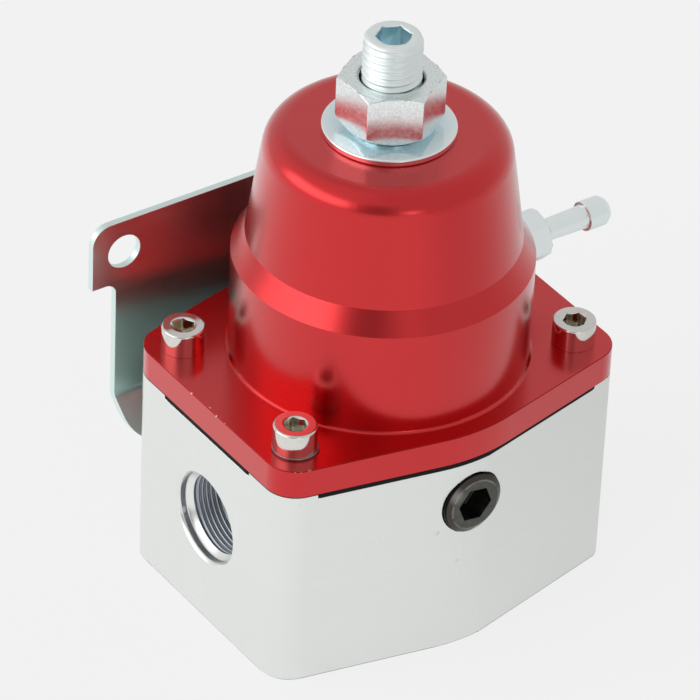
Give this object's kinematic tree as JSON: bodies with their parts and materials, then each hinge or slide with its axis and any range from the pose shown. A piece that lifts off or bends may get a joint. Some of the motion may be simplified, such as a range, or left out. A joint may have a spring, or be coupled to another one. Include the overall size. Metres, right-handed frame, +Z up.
{
  "type": "fuel pressure regulator",
  "caption": "Block-bodied return-style fuel pressure regulator with a stepped domed housing, adjusting screw, vacuum nipple and folded wall bracket.",
  "frame": {"origin": "middle of the flat base, on the axis of the dome and the return port", "axes": "+Z up along the dome and the adjusting screw, X from inlet to inlet with the vacuum nipple at +X, -Y towards the gauge port's plug and +Y towards the bracket"},
  "size_m": [0.0956, 0.0716, 0.1204],
  "materials": {
    "bare_aluminium": "machined and lightly brushed",
    "red_anodised": "satin red anodising",
    "zinc_plate": "bright zinc plate",
    "bracket_zinc": "zinc-plated sheet",
    "stainless": "polished stainless steel",
    "black_oxide": "oiled black oxide",
    "black_rubber": "fabric-reinforced rubber sheet",
    "seat_brass": "turned",
    "spring_steel": "oiled spring steel",
    "turned_steel": "turned steel"
  },
  "bodies": {
    "regulator": {"lower_body": "bare_aluminium", "upper_housing": "red_anodised", "diaphragm": "black_rubber", "return_seat": "seat_brass", "main_spring": "spring_steel", "front_screw_washer": "stainless", "gauge_port_plug": "black_oxide", "vacuum_nipple": "zinc_plate", "bracket": "bracket_zinc", "cap_screw_left_front": "stainless", "cap_screw_left_back": "stainless", "cap_screw_right_front": "stainless", "cap_screw_right_back": "stainless", "bracket_screw_left": "zinc_plate", "bracket_screw_right": "zinc_plate", "bracket_lock_washer_left": "zinc_plate", "bracket_lock_washer_right": "zinc_plate"},
    "valve": {"spring_plate": "turned_steel", "valve_stem": "turned_steel", "stem_nut": "zinc_plate", "valve_seal": "black_rubber"},
    "spring_button": {"upper_spring_seat": "turned_steel"},
    "adjuster": {"adjusting_screw": "zinc_plate"},
    "washer": {"flat_washer": "zinc_plate"},
    "nut": {"jam_nut": "zinc_plate"}
  },
  "joints": [
    {"name": "valve_lift", "type": "slide", "parent": "regulator", "child": "valve", "axis": [0, 0, 1], "range_m": [0, 0.0008], "stiffness_N_per_m": 1500, "springref_m": -0.01, "deforming": ["main_spring", "diaphragm"]},
    {"name": "adjuster_travel", "type": "slide", "parent": "regulator", "child": "spring_button", "axis": [0, 0, 1], "range_m": [-0.0055, 0.004], "deforming": ["main_spring"]},
    {"name": "adjuster_turn", "type": "hinge", "parent": "spring_button", "child": "adjuster", "pos_m": [0, 0, 0.12], "axis": [0, 0, 1], "range_deg": [-1320.01, 960.01]},
    {"name": "washer_turn", "type": "hinge", "parent": "regulator", "child": "washer", "pos_m": [0, 0, 0.1], "axis": [0, 0, 1], "range_deg": [0, 720.01]},
    {"name": "nut_rise", "type": "slide", "parent": "washer", "child": "nut", "axis": [0, 0, 1], "range_m": [0, 0.003]}
  ],
  "couplings": [
    {"joint": "adjuster_turn", "follows": "adjuster_travel", "rad_per_m": 4188.8},
    {"joint": "washer_turn", "follows": "nut_rise", "rad_per_m": 4188.8}
  ]
}
